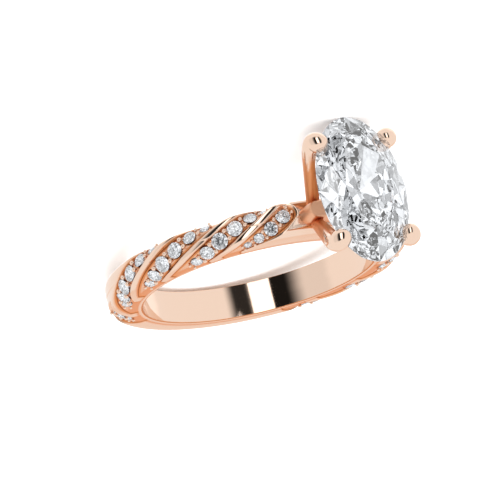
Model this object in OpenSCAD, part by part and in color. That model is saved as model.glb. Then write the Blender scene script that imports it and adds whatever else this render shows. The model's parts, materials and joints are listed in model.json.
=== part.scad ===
// Twisted shank ring: an oval stone in a four-claw head, on a band whose slanting
// polished ribs part the fields of small round stones.
// The ring is drawn about its finger hole, with X towards the head and Z along the finger.
// rest_pose() then lays it on its side, on the tip of the oval stone and the edge of the back.

/* [Finger hole] */
// Inner diameter of the band
finger_d = 17.0; // [16.6:0.1:17.4]

/* [Band] */
// Width of the band along the finger
band_w = 2.4; // [2.3:0.05:2.5]
// Thickness of the band over its ribs
rib_t = 2.37; // [2.3:0.01:2.42]
// Thickness of the plain back
back_t = 2.2; // [2.0:0.05:2.3]
// Depth of the stone fields below the ribs
field_depth = 0.27; // [0.2:0.01:0.3]
// Depth of the seats that the small stones stand in
seat_depth = 0.6; // [0.55:0.01:0.65]
// How far the worn inner edge of the band is eased
eased_edge = 0.15; // [0.1:0.01:0.2]
// How far the ribs stand out past the fields at the sides of the band
rib_proud = 0.04; // [0.0:0.01:0.06]
// How much higher and squarer the band is under the head
head_rise = 0.1; // [0.0:0.01:0.12]

/* [Ribs] */
// Width of the flat top of a rib
rib_top = 0.38; // [0.34:0.01:0.42]
// Width of the slope on each side of a rib
rib_slope = 0.06; // [0.05:0.01:0.08]

/* [Small stones] */
// Diameter of the widest small stone
melee_d = 1.2; // [1.0:0.01:1.22]
// Height of a small stone's girdle above the field
melee_lift = 0.07; // [0.05:0.01:0.08]

/* [Oval stone] */
// Length of the oval stone, along the finger
stone_l = 10.64; // [10.2:0.01:10.9]
// Width of the oval stone, across the finger
stone_w = 7.02; // [6.8:0.01:7.2]
// Height of the girdle above the middle of the finger hole
girdle_rise = 15.82; // [15.6:0.01:16.0]

/* [Head] */
// Clearance between the claws and the oval stone
stone_gap = 0.04; // [0.03:0.01:0.06]

/* [Hidden] */
rose_gold = "#e8b79a";
stone_white = "#eef2f5";

finger_r = finger_d / 2;
half_w = band_w / 2;
// Radius at which the flat sides turn into the outer surface
side_r = finger_r + 0.4;
// Radii of the middle of the band over a rib, in a field and at the back
rib_r = finger_r + rib_t;
field_r = rib_r - field_depth;
back_r = finger_r + back_t;
// Exponents of the cross-sections: square under the head on its far side and rounder on its near side,
// boxy over the ribs, roundest in the fields
FAR_POWER = 12;
NEAR_POWER = 5;
RIB_POWER = 4.5;
FIELD_POWER = 2.6;
// Overlap that lets the finger cylinder cut the band's inner wall clean
bore_cut = 0.15;

// Half of one cross-section, from the middle of the band out to its flat side, as [radius, z]
CONTOUR_STEPS = 40;
function contour(top, side, power) = [
    for (i = [0:CONTOUR_STEPS])
        let (a = 90 * i / CONTOUR_STEPS)
        [side_r + (top - side_r) * pow(cos(a), 2 / power), side * pow(sin(a), 2 / power)]
];
function run_lengths(path, i = 0, sum = 0) =
    i == len(path) - 1 ? [sum] : concat([sum], run_lengths(path, i + 1, sum + norm(path[i + 1] - path[i])));
function share_table(path, column) =
    let (runs = run_lengths(path), whole = runs[len(runs) - 1])
    [for (i = [0:len(path) - 1]) [runs[i] / whole, path[i][column]]];
far_path = contour(rib_r + head_rise, half_w + rib_proud, FAR_POWER);
near_path = contour(rib_r + head_rise, half_w + rib_proud, NEAR_POWER);
rib_path = contour(rib_r, half_w + rib_proud, RIB_POWER);
field_path = contour(field_r, half_w, FIELD_POWER);
FAR_R = share_table(far_path, 0);
FAR_Z = share_table(far_path, 1);
NEAR_R = share_table(near_path, 0);
NEAR_Z = share_table(near_path, 1);
RIB_R = share_table(rib_path, 0);
RIB_Z = share_table(rib_path, 1);
FIELD_R = share_table(field_path, 0);
FIELD_Z = share_table(field_path, 1);

// A place across the band is w, from -1 at one flat side through 0 to 1 at the other
function head_at(w) = w > 0 ? [lookup(w, NEAR_R), lookup(w, NEAR_Z)] : [lookup(-w, FAR_R), -lookup(-w, FAR_Z)];
function rib_at(w) = [lookup(abs(w), RIB_R), sign(w) * lookup(abs(w), RIB_Z)];
function field_at(w) = [lookup(abs(w), FIELD_R), sign(w) * lookup(abs(w), FIELD_Z)];

// Guide lines on the shoulder towards +Y, from the head to the back.
// Columns: angle in degrees at the middle of the band, slant, near and far bend in degrees over w
ANGLE = 0;
SLANT = 1;
NEAR_BEND = 2;
FAR_BEND = 3;
GUIDES = [
    [13.6, 13, 20, 50],   // edge of the first field
    [28.5, 25, 0, 0],     // first rib
    [49.2, 32, 0, 0],     // second rib
    [76.0, 31, 0, 0],     // third rib
    [100.3, 32, 0, 0],    // fourth rib
    [125.0, 36, -20, -20] // edge of the last field
];
LAST = len(GUIDES) - 1;
// The slant stops where the outer surface has turned into the flat side
SLANT_END = 0.8;
function held(w) = sign(w) * min(abs(w), SLANT_END);
function guide_line(k, w) =
    GUIDES[k][ANGLE] + GUIDES[k][SLANT] * held(w) + GUIDES[k][w > 0 ? NEAR_BEND : FAR_BEND] * pow(held(w), 2);

// Half widths of a rib in degrees round the band, whose ribs slant this far from the round
rib_slant = 24;
deg_per_mm = 180 / PI / rib_r;
top_half = rib_top / 2 / sin(rib_slant) * deg_per_mm;
foot_half = top_half + rib_slope / sin(rib_slant) * deg_per_mm;
// The first field closes against the first rib, and its edge stays this many degrees off the foot
CLOSED = 1.3;
// Degrees from a guide at the end of the fields to the top and to the foot of its step
STEP_TOP = 0.3;
STEP_FOOT = 0.6;
function guide_at(k, w) =
    k == 0 ? min(guide_line(0, w), guide_line(1, w) - foot_half - CLOSED)
    : guide_line(k, w);
function left_foot(k, w) = guide_at(k, w) + (k == 0 ? STEP_FOOT : foot_half);
function right_foot(k, w) = guide_at(k, w) - (k == LAST ? STEP_FOOT : foot_half);
// The part of its full depth that a field has where it narrows, from 0 to 1.
// Its depth is full where it is this many degrees wide
FULL_WIDTH = 4.5;
// The last field has only its near end, which starts at this w and is full after this much more
NEAR_START = 0.2;
NEAR_RUN = 0.12;
function share_of(x) = min(1, max(0, x));
function opened(k, w) =
    share_of((right_foot(k + 1, w) - left_foot(k, w)) / FULL_WIDTH)
    * (k == LAST - 1 ? share_of((w - NEAR_START) / NEAR_RUN) : 1);
// Grooves end before the flat sides, over this much of w
GROOVE_END = 0.88;
GROOVE_RUN = 0.24;
function groove_fade(w) = share_of((GROOVE_END - abs(w)) / GROOVE_RUN);

// Columns of the band's surface. Each is at a guide plus a number of degrees,
// or at a share of the field after the guide, and has its height and its groove from 0 to 1
KIND = 0;
GUIDE = 1;
AT = 2;
RAISED = 3;
GROOVE = 4;
ON_GUIDE = 0;
IN_FIELD = 1;
// Height of a rib's edges, which are eased below its middle
RIB_EDGE = 0.9;
// Places across a field and the depth of the groove there
FIELD_SHARES = [[0.25, 0.5], [0.5, 1], [0.75, 0.5]];
function rib_columns(k) = [
    for (c = [[-foot_half, 0], [-top_half, RIB_EDGE], [0, 1], [top_half, RIB_EDGE], [foot_half, 0]])
        [ON_GUIDE, k, c[0], c[1], 0]
];
function field_columns(k) = [for (f = FIELD_SHARES) [IN_FIELD, k, f[0], 0, f[1]]];
shoulder_columns = concat(
    [[ON_GUIDE, 0, -STEP_TOP, 1, 0], [ON_GUIDE, 0, STEP_FOOT, 0, 0]],
    field_columns(0),
    [for (k = [1:LAST - 1]) each concat(rib_columns(k), field_columns(k))],
    [[ON_GUIDE, LAST, -STEP_FOOT, 0, 0], [ON_GUIDE, LAST, STEP_TOP, 1, 0]]
);
function column_angle(c, w) =
    c[KIND] == ON_GUIDE ? guide_at(c[GUIDE], w) + c[AT]
    : left_foot(c[GUIDE], w) * (1 - c[AT]) + right_foot(c[GUIDE] + 1, w) * c[AT];
function column_raised(c, w) =
    c[KIND] == IN_FIELD ? 1 - opened(c[GUIDE], w)
    : c[AT] < 0 && c[GUIDE] > 0 ? max(c[RAISED], 1 - opened(c[GUIDE] - 1, w))
    : c[AT] > 0 && c[GUIDE] < LAST ? max(c[RAISED], 1 - opened(c[GUIDE], w))
    : c[RAISED];
function column_groove(c, w) = c[KIND] == IN_FIELD ? c[GROOVE] * opened(c[GUIDE], w) : 0;

// The band is square under the head, and lower at its plain back. Angles from the head
HEAD_END = 20;
HEAD_RUN = 25;
BACK_START = 120;
BACK_RUN = 30;
function from_head(angle) = abs(angle) > 180 ? 360 - abs(angle) : abs(angle);
function squareness(angle) = share_of(1 - (from_head(angle) - HEAD_END) / HEAD_RUN);
function band_top(angle) =
    rib_r - (rib_r - back_r) * share_of((from_head(angle) - BACK_START) / BACK_RUN);

// One point of the outer surface, in the ring's own frame. Grooves point at the middle of the wall
SEAT_AIM = [9.0, 0];
function surface_point(angle, w, raised, groove) =
    let (
        squared = squareness(angle),
        r = rib_at(w) * (1 - squared) + head_at(w) * squared,
        f = field_at(w),
        scaled = [side_r + (r[0] - side_r) * (band_top(angle) - side_r) / (rib_r - side_r), r[1]],
        p = f * (1 - raised) + scaled * raised,
        aim = SEAT_AIM - p,
        q = p + aim / norm(aim) * seat_depth * groove * groove_fade(w)
    )
    [q[0] * cos(angle), q[0] * sin(angle), q[1]];

// The plain stretches under the head and at the back, between the two mirrored shoulders
HEAD_SHARES = [-0.75, -0.5, -0.25, 0, 0.25, 0.5, 0.75];
BACK_STEPS = 14;
ACROSS_STEPS = 24;
ACROSS = [for (i = [0:ACROSS_STEPS]) 2 * i / ACROSS_STEPS - 1];
// Flat side and inner edge of one end of a cross-section, as [radius, z].
// The eased edge runs on past the finger hole's wall at the same slope
EASED_SLOPE = 0.3;
side_foot = [finger_r + eased_edge, half_w];
inner_edge = [finger_r - bore_cut, half_w - EASED_SLOPE * (eased_edge + bore_cut)];
function ring_point(p, angle) = [p[0] * cos(angle), p[0] * sin(angle), p[1]];
function section(angles, points) = concat(
    [for (p = [inner_edge, side_foot]) ring_point([p[0], -p[1]], angles[0])],
    points,
    [ring_point(side_foot, angles[ACROSS_STEPS]), ring_point(inner_edge, angles[ACROSS_STEPS])]
);
function column_section(c, side) =
    let (angles = [for (w = ACROSS) side * column_angle(c, w)])
    section(angles, [
        for (i = [0:ACROSS_STEPS])
            surface_point(angles[i], ACROSS[i], column_raised(c, ACROSS[i]), column_groove(c, ACROSS[i]))
    ]);
function plain_section(angles) =
    section(angles, [for (i = [0:ACROSS_STEPS]) surface_point(angles[i], ACROSS[i], 1, 0)]);
function back_angle(w, share) =
    let (near = guide_at(LAST, w) + STEP_TOP)
    near + (360 - 2 * near) * share;
band_sections = concat(
    [for (s = HEAD_SHARES) plain_section([for (w = ACROSS) guide_at(0, w) * s])],
    [for (c = shoulder_columns) column_section(c, 1)],
    [for (i = [1:BACK_STEPS - 1]) plain_section([for (w = ACROSS) back_angle(w, i / BACK_STEPS)])],
    [for (i = [len(shoulder_columns) - 1:-1:0]) column_section(shoulder_columns[i], -1)]
);

// Closed skin over rows of points, each row a closed loop; the rows close too if looped
function row_faces(rows, n, looped) = [
    for (i = [0:rows - (looped ? 1 : 2)])
        for (j = [0:n - 1])
            let (a = i * n, b = ((i + 1) % rows) * n, k = (j + 1) % n)
            each [[a + j, b + k, b + j], [a + j, a + k, b + k]]
];
module skin(rows, looped) {
    n = len(rows[0]);
    caps = looped ? [] : [[for (j = [n - 1:-1:0]) j], [for (j = [0:n - 1]) (len(rows) - 1) * n + j]];
    polyhedron([for (row = rows) each row], concat(row_faces(len(rows), n, looped), caps), convexity = 8);
}

// Rows round a path of [x, y, z, radius], for a leg
SIDES = 10;
function unit(v) = v / norm(v);
function tube_row(at, ahead, radius, side_hint) =
    let (u = unit(cross(ahead, side_hint)), v = cross(u, unit(ahead)))
    [for (j = [0:SIDES - 1]) at + radius * (cos(360 * j / SIDES) * u + sin(360 * j / SIDES) * v)];
function turned(p, sy, sz) = [p[0], p[1] * sy, p[2] * sz];

// One claw, from its foot in the collar to the rounded tip over the stone.
// Columns: height above the middle of the hole, distance across, distance along, radius
CLAW = [
    [10.70, 1.05, 0.55, 0.42],
    [11.60, 1.42, 1.05, 0.48],
    [12.60, 1.84, 1.72, 0.53],
    [13.80, 2.34, 2.50, 0.57],
    [15.00, 2.84, 3.28, 0.57],
    [15.45, 2.98, 3.54, 0.60],
    [15.80, 3.00, 3.64, 0.66],
    [16.05, 2.93, 3.62, 0.69],
    [16.28, 2.80, 3.52, 0.62],
    [16.46, 2.68, 3.42, 0.46],
    [16.55, 2.60, 3.36, 0.22]
];
RADIUS = 3;
function claw_rows(sy, sz) = [
    for (i = [0:len(CLAW) - 1])
        let (
            at = turned(CLAW[i], sy, sz),
            before = turned(CLAW[max(0, i - 1)], sy, sz),
            after = turned(CLAW[min(len(CLAW) - 1, i + 1)], sy, sz)
        )
        tube_row(at, after - before, CLAW[i][RADIUS], [0, 1, 0])
];
module claws() {
    for (sy = [-1, 1], sz = [-1, 1])
        skin(claw_rows(sy, sz), false);
}

// The collar is a rounded block that seats the legs on the band
collar_l = 4.6;
collar_w = 1.25;
collar_top = 12.3;
collar_foot = 10.3;
module collar() {
    translate([collar_foot, 0, 0])
        rotate([0, 90, 0])
            linear_extrude(collar_top - collar_foot)
                hull()
                    for (s = [-1, 1])
                        translate([0, s * (collar_l - collar_w) / 2]) circle(d = collar_w, $fn = 32);
}

// A brilliant cut with an oval outline, girdle at z = 0 and table up.
// Columns: height as a share of the width, size as a share of the girdle, corners, turn in corners
HEIGHT = 0;
SIZE = 1;
CORNERS = 2;
TURN = 3;
LEVELS = [
    [0.155, 0.56, 8, 0],
    [0.100, 0.80, 8, 0.5],
    [0.012, 1.00, 16, 0],
    [-0.012, 1.00, 16, 0],
    [-0.330, 0.28, 8, 0.5]
];
CULET = -0.43;
function level_ring(l, half_l, half_b, w) = [
    for (j = [0:l[CORNERS] - 1])
        let (a = 360 * (j + l[TURN]) / l[CORNERS])
        [half_l * l[SIZE] * cos(a), half_b * l[SIZE] * sin(a), l[HEIGHT] * w]
];
module oval_brilliant(l, b, grow = 0) {
    half_l = l / 2 + grow;
    half_b = b / 2 + grow;
    rise = b + 2 * grow;
    table = level_ring(LEVELS[0], half_l, half_b, rise);
    stars = level_ring(LEVELS[1], half_l, half_b, rise);
    upper = level_ring(LEVELS[2], half_l, half_b, rise);
    lower = level_ring(LEVELS[3], half_l, half_b, rise);
    mains = level_ring(LEVELS[4], half_l, half_b, rise);
    points = concat(table, stars, upper, lower, mains, [[0, 0, CULET * rise]]);
    // First index of each ring of points
    s = len(table);
    u = s + len(stars);
    g = u + len(upper);
    m = g + len(lower);
    tip = m + len(mains);
    faces = concat(
        [[for (j = [7:-1:0]) j]],
        [for (j = [0:7]) let (k = (j + 1) % 8) [j, k, s + j]],
        [for (j = [0:7]) let (k = (j + 7) % 8) each [[j, s + j, u + 2 * j], [j, u + 2 * j, s + k]]],
        [for (j = [0:7]) let (a = u + 2 * j, c = u + (2 * j + 2) % 16) each [[s + j, a + 1, a], [s + j, c, a + 1]]],
        [for (j = [0:15]) let (k = (j + 1) % 16) each [[u + j, u + k, g + k], [u + j, g + k, g + j]]],
        [for (j = [0:7]) let (a = g + 2 * j, c = g + (2 * j + 2) % 16) each [[a, a + 1, m + j], [a + 1, c, m + j]]],
        [for (j = [0:7]) let (k = (j + 7) % 8) each [[g + 2 * j, m + j, tip], [g + 2 * j, tip, m + k]]]
    );
    polyhedron(points, faces, convexity = 4);
}

// A small brilliant: table, eight crown and eight pavilion facets
TABLE_SHARE = 0.58;
CROWN_SHARE = 0.13;
PAVILION_SHARE = 0.42;
FACETS = 8;
function corners(r, z) = [for (j = [0:FACETS - 1]) let (a = 360 * j / FACETS) [r * cos(a), r * sin(a), z]];
module melee(d) {
    points = concat(
        corners(d / 2 * TABLE_SHARE, d * CROWN_SHARE),
        corners(d / 2, 0),
        [[0, 0, -d * PAVILION_SHARE]]
    );
    faces = concat(
        [[for (j = [FACETS - 1:-1:0]) j]],
        [for (j = [0:FACETS - 1]) let (k = (j + 1) % FACETS) [j, k, FACETS + k, FACETS + j]],
        [for (j = [0:FACETS - 1]) let (k = (j + 1) % FACETS) [FACETS + j, FACETS + k, 2 * FACETS]]
    );
    polyhedron(points, faces, convexity = 2);
}

// Stones of a field, with columns: place across the band, size as a share of the widest stone.
// The first field is short and narrows towards its far end, and the last has only its near end
ACROSS_AT = 0;
SHARE = 1;
FIRST_FIELD = [[-0.08, 0.68], [0.17, 0.83], [0.38, 0.65], [0.55, 0.48]];
SECOND_FIELD = [[-0.5, 0.56], [-0.3, 0.71], [-0.08, 0.9], [0.155, 0.97], [0.375, 0.85], [0.58, 0.62]];
FULL_FIELD = [[-0.44, 0.5], [-0.245, 0.74], [-0.025, 0.96], [0.2, 0.97], [0.41, 0.86], [0.61, 0.6]];
LAST_FIELD = [[0.41, 0.74], [0.6, 0.44]];
STONES = [FIRST_FIELD, SECOND_FIELD, FULL_FIELD, FULL_FIELD, LAST_FIELD];
// Outward direction of a field's surface across the band, in degrees from the radius
TILT_STEP = 0.04;
function field_lean(w) =
    let (t = field_at(w + TILT_STEP) - field_at(w - TILT_STEP))
    atan2(-t[0], t[1]);
// A smaller stone stands lower between the ribs, by this share of what its diameter lacks
SMALL_DROP = 0.18;
function melee_rise(d) = melee_lift - SMALL_DROP * (melee_d - d);
module pave(side) {
    for (k = [0:LAST - 1], s = STONES[k]) {
        w = s[ACROSS_AT];
        d = melee_d * s[SHARE];
        angle = side * (left_foot(k, w) + right_foot(k + 1, w)) / 2;
        p = field_at(w);
        lean = field_lean(w);
        q = p + melee_rise(d) * [cos(lean), sin(lean)];
        translate(ring_point(q, angle))
            rotate([0, 90 - lean, angle])
                melee(d);
    }
}

// The band with its head, and the finger hole and the stone's notches cut out
bore_l = band_w + 2;
module ring_metal() {
    difference() {
        union() {
            skin(band_sections, true);
            collar();
            claws();
        }
        cylinder(r = finger_r, h = bore_l, center = true, $fn = 128);
        seated() oval_brilliant(stone_l, stone_w, stone_gap);
    }
}
module seated() {
    translate([girdle_rise, 0, 0]) rotate([0, 90, 0]) children();
}

// At rest the stone's lower tip and the lower edge of the back touch the surface below
stone_tip = [girdle_rise, -stone_l / 2];
back_section = [for (w = ACROSS) let (p = surface_point(180, w, 1, 0)) [p[0], p[2]]];
first_tilt = 9;
function height_at(p, tilt) = p[0] * sin(tilt) + p[1] * cos(tilt);
back_low = min([for (p = back_section) height_at(p, first_tilt)]);
back_touch = [for (p = back_section) if (height_at(p, first_tilt) < back_low + 0.0001) p][0];
rest_tilt = atan((back_touch[1] - stone_tip[1]) / (stone_tip[0] - back_touch[0]));
// The girdle is a thin band, whose lower rim is the tip
girdle_half = LEVELS[2][HEIGHT] * stone_w;
rest_height = -height_at(stone_tip, rest_tilt) + girdle_half * sin(rest_tilt);
// Middle of the ring's length at rest, between the back and the stone's table
function reach_at(p, tilt) = p[0] * cos(tilt) - p[1] * sin(tilt);
back_reach = min([for (p = back_section) reach_at(p, rest_tilt)]);
table_edge = [girdle_rise + LEVELS[0][HEIGHT] * stone_w, -LEVELS[0][SIZE] * stone_l / 2];
table_reach = reach_at(table_edge, rest_tilt);
rest_shift = -(back_reach + table_reach) / 2;
module rest_pose() {
    translate([rest_shift, 0, rest_height]) rotate([0, -rest_tilt, 0]) children();
}

module mounting() {
    color(rose_gold) rest_pose() ring_metal();
}
module centre_stone() {
    color(stone_white) rest_pose() seated() oval_brilliant(stone_l, stone_w);
}
module pave_left() {
    color(stone_white) rest_pose() pave(1);
}
module pave_right() {
    color(stone_white) rest_pose() pave(-1);
}

mounting();
centre_stone();
pave_left();
pave_right();
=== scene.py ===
"""Twisted shank ring, dressed: polished rose gold, an oval brilliant and two shoulders of small brilliants.

Every piece is shaped in millimetres about the finger hole, with X towards the head and Z along the
finger, and then laid on its side in the row's own frame by RestPose.
"""

import json
import logging
import math
from collections.abc import Callable, Iterable
from dataclasses import dataclass, field
from enum import Enum
from typing import NamedTuple

import bmesh
import bpy
from bmesh.types import BMEdge, BMesh, BMVert
from bpy.types import ID, Material, Mesh, Node, NodeSocket, NodeTree, Object
from mathutils import Matrix, Vector

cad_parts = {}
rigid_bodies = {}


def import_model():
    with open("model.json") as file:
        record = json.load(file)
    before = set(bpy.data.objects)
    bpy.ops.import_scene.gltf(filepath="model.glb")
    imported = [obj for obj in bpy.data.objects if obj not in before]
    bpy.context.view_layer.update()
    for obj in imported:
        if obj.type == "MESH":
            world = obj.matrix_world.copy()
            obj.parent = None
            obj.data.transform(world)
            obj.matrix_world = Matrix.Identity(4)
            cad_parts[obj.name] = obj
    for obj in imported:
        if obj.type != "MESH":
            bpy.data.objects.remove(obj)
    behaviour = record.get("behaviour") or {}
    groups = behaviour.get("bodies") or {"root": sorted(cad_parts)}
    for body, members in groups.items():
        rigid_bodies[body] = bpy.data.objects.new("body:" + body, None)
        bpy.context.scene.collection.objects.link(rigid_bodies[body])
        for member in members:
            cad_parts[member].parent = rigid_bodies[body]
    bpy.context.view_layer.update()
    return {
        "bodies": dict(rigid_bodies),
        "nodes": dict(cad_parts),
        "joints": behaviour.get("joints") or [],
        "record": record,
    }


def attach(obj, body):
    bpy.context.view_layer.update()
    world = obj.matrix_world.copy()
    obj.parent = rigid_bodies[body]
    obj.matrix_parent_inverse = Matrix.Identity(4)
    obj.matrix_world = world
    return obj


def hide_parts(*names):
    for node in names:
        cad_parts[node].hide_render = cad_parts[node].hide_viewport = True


LOG = logging.getLogger("twisted_shank_ring")
MM = 0.001
BODY = "root"
# The point attribute that holds the painted shade: how much darker and redder the gold is painted where shade
# falls.
PAINTED_SHADE = "painted_shade"
SHARP_ANGLE = math.radians(38)


class Shoulder(Enum):
    """The two shoulders of the band, which mirror each other."""

    LEFT = 1
    RIGHT = -1


@dataclass(frozen=True)
class RestPose:
    """How the ring lies, by the middle of its finger hole and the finger's direction in the row's frame."""

    centre: Vector
    finger: Vector

    @classmethod
    def from_mount(cls, record: dict) -> "RestPose":
        """Reads the pose from the finger hole's mount.

        Args:
            record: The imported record.

        Returns:
            The pose in which the ring was packed.
        """
        hole = next(m for m in record["mounts"] if m["name"] == "finger_hole")
        return cls(Vector(hole["pos_m"]), Vector(hole["axis"]).normalized())

    def matrix(self) -> Matrix:
        """Returns the matrix from the ring's frame in millimetres to the row's frame in metres."""
        tilt = math.atan2(-self.finger.x, self.finger.z)
        return Matrix.Translation(self.centre) @ Matrix.Rotation(-tilt, 4, "Y") @ Matrix.Scale(MM, 4)


def clamp(value: float, low: float = 0.0, high: float = 1.0) -> float:
    """Returns the value held between low and high."""
    return max(low, min(high, value))


def mix(a: float, b: float, share: float) -> float:
    """Returns the value at a share of the way from a to b."""
    return a + (b - a) * share


def toward(heading: float, rise: float) -> Vector:
    """Returns the unit vector with a heading about Z and a rise above the XY plane, both in radians."""
    return Vector((math.cos(rise) * math.cos(heading), math.cos(rise) * math.sin(heading), math.sin(rise)))


@dataclass(frozen=True)
class Contour:
    """Half of a cross-section of the band, from its middle out to its flat side, as a superellipse."""

    side_r: float
    top_r: float
    half_w: float
    power: float
    steps: int = 120

    def path(self) -> list[tuple[float, float]]:
        """Walks the contour from its middle to its flat side.

        Returns:
            The points as (radius, z).
        """
        rise, power = self.top_r - self.side_r, 2 / self.power
        points = []
        for i in range(self.steps + 1):
            turn = math.pi / 2 * i / self.steps
            r = self.side_r + rise * abs(math.cos(turn)) ** power
            points.append((r, self.half_w * math.sin(turn) ** power))
        return points

    def sampler(self) -> Callable[[float], tuple[float, float]]:
        """Measures the contour along its length.

        Returns:
            A function from a place across the band, -1 to 1, to (radius, z).
        """
        path = self.path()
        runs = [0.0]
        for (r0, z0), (r1, z1) in zip(path, path[1:]):
            runs.append(runs[-1] + math.hypot(r1 - r0, z1 - z0))

        def at(w: float) -> tuple[float, float]:
            """Returns (radius, z) at a place across the band."""
            goal = abs(w) * runs[-1]
            i = max(1, next((k for k, run in enumerate(runs) if run >= goal), len(runs) - 1))
            share = clamp((goal - runs[i - 1]) / (runs[i] - runs[i - 1]))
            r = mix(path[i - 1][0], path[i][0], share)
            z = mix(path[i - 1][1], path[i][1], share)
            return r, math.copysign(z, w)

        return at


@dataclass(frozen=True)
class Guide:
    """A line across the shoulder: its angle in the middle of the band, its slant and its two bends."""

    angle: float
    slant: float
    near_bend: float = 0.0
    far_bend: float = 0.0


@dataclass(frozen=True)
class StonePlace:
    """A small stone's place across its field and its size as a share of the widest stone."""

    across: float
    size: float


class Seat(NamedTuple):
    """Where a small stone stands: its girdle's middle, the direction of its table and its radius."""

    centre: Vector
    normal: Vector
    radius: float


def stone_row(*pairs: tuple[float, float]) -> tuple[StonePlace, ...]:
    """Returns a field's stones from pairs of a place across and a size."""
    return tuple(StonePlace(*pair) for pair in pairs)


@dataclass
class BandForm:
    """The form of the band, in the ring's frame. Angles run from the head to the back, in degrees."""

    finger_r: float = 8.5
    half_w: float = 1.2
    rib_proud: float = 0.04
    head_rise: float = 0.1
    rib_t: float = 2.37
    back_t: float = 2.2
    field_depth: float = 0.27
    side_gap: float = 0.4
    eased_edge: float = 0.15
    eased_slope: float = 0.3
    rib_top: float = 0.38
    rib_slope: float = 0.06
    rib_slant: float = 24.0
    slant_end: float = 0.8
    closed: float = 1.3
    rib_power: float = 4.5
    head_powers: tuple[float, float] = (5, 12)
    field_power: float = 2.6
    step_top: float = 0.3
    step_foot: float = 0.6
    full_width: float = 4.5
    near_start: float = 0.2
    near_run: float = 0.12
    melee_d: float = 1.2
    melee_lift: float = 0.07
    small_drop: float = 0.18
    guides: tuple[Guide, ...] = (
        Guide(13.6, 13, 20, 50),
        Guide(28.5, 25),
        Guide(49.2, 32),
        Guide(76.0, 31),
        Guide(100.3, 32),
        Guide(125.0, 36, -20, -20),
    )
    first_field: tuple[StonePlace, ...] = stone_row((-0.13, 0.88), (0.17, 0.83), (0.38, 0.65), (0.55, 0.5))
    second_field: tuple[StonePlace, ...] = stone_row(
        (-0.52, 0.58), (-0.31, 0.8), (-0.08, 0.93), (0.155, 0.98), (0.375, 0.88), (0.59, 0.72)
    )
    full_field: tuple[StonePlace, ...] = stone_row(
        (-0.445, 0.62), (-0.245, 0.84), (-0.025, 0.96), (0.2, 0.97), (0.41, 0.88), (0.61, 0.7)
    )
    last_field: tuple[StonePlace, ...] = stone_row((0.41, 0.78), (0.6, 0.58))
    head_end: float = 20.0
    head_run: float = 25.0
    back_start: float = 120.0
    back_run: float = 30.0
    rib_at: Callable = field(init=False)
    head_at: Callable = field(init=False)
    field_at: Callable = field(init=False)

    def __post_init__(self) -> None:
        """Works out the three cross-sections: over a rib, under the head and in a field."""
        self.side_r = self.finger_r + self.side_gap
        self.rib_r = self.finger_r + self.rib_t
        proud_w = self.half_w + self.rib_proud
        head_r, field_r = self.rib_r + self.head_rise, self.rib_r - self.field_depth
        near, far = (Contour(self.side_r, head_r, proud_w, power).sampler() for power in self.head_powers)
        self.head_at = lambda w: near(w) if w > 0 else far(w)
        self.rib_at = Contour(self.side_r, self.rib_r, proud_w, self.rib_power).sampler()
        self.field_at = Contour(self.side_r, field_r, self.half_w, self.field_power).sampler()
        per_mm = 180 / math.pi / self.rib_r / math.sin(math.radians(self.rib_slant))
        self.foot_half = (self.rib_top / 2 + self.rib_slope) * per_mm
        self.last = len(self.guides) - 1

    def stones_of(self, k: int) -> tuple[StonePlace, ...]:
        """Returns the stones of the field after guide k."""
        short = {0: self.first_field, 1: self.second_field, self.last - 1: self.last_field}
        return short.get(k, self.full_field)

    def guide_line(self, k: int, w: float) -> float:
        """Follows a guide, whose slant and bends end where the skin turns down the band's sides.

        Args:
            k: The guide, counted from the head.
            w: The place across the band.

        Returns:
            The guide's angle there.
        """
        held = math.copysign(min(abs(w), self.slant_end), w)
        guide = self.guides[k]
        bend = guide.near_bend if held > 0 else guide.far_bend
        return guide.angle + guide.slant * held + bend * held * held

    def guide_at(self, k: int, w: float) -> float:
        """Returns the angle of guide k, where the first stays clear of the first rib."""
        limit = math.inf if k else self.guide_line(1, w) - self.foot_half - self.closed
        return min(self.guide_line(k, w), limit)

    def left_foot(self, k: int, w: float) -> float:
        """Returns the angle at which the field after guide k starts."""
        return self.guide_at(k, w) + (self.foot_half if k else self.step_foot)

    def right_foot(self, k: int, w: float) -> float:
        """Returns the angle at which the field before guide k ends."""
        return self.guide_at(k, w) - (self.step_foot if k == self.last else self.foot_half)

    def between(self, k: int, w: float, share: float) -> float:
        """Returns the angle at a share of the way across the field after guide k."""
        return mix(self.left_foot(k, w), self.right_foot(k + 1, w), share)

    def opened(self, k: int, w: float) -> float:
        """Returns the part of its full depth that field k has. The last field has only its near end."""
        near = clamp((w - self.near_start) / self.near_run) if k == self.last - 1 else 1.0
        return clamp((self.right_foot(k + 1, w) - self.left_foot(k, w)) / self.full_width) * near

    def outer(self, angle: float, w: float, raised: float) -> tuple[float, float]:
        """Returns (radius, z) of the outer surface.

        Args:
            angle: The angle from the head, in degrees.
            w: The place across the band, from -1 to 1.
            raised: 1 on a rib, 0 on the floor of a field.

        Returns:
            The point of the cross-section.
        """
        from_head = 360 - abs(angle) if abs(angle) > 180 else abs(angle)
        squared = clamp(1 - (from_head - self.head_end) / self.head_run)
        back_r = self.finger_r + self.back_t
        top = mix(self.rib_r, back_r, clamp((from_head - self.back_start) / self.back_run))
        rib, head, low = self.rib_at(w), self.head_at(w), self.field_at(w)
        r = mix(rib[0], head[0], squared)
        z = mix(rib[1], head[1], squared)
        r = self.side_r + (r - self.side_r) * (top - self.side_r) / (self.rib_r - self.side_r)
        return mix(low[0], r, raised), mix(low[1], z, raised)

    def lean(self, w: float, step: float = 0.04) -> float:
        """Returns the outward direction of a field's surface, in radians from the radius."""
        (r0, z0), (r1, z1) = self.field_at(w - step), self.field_at(w + step)
        return math.atan2(r0 - r1, z1 - z0)

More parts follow.
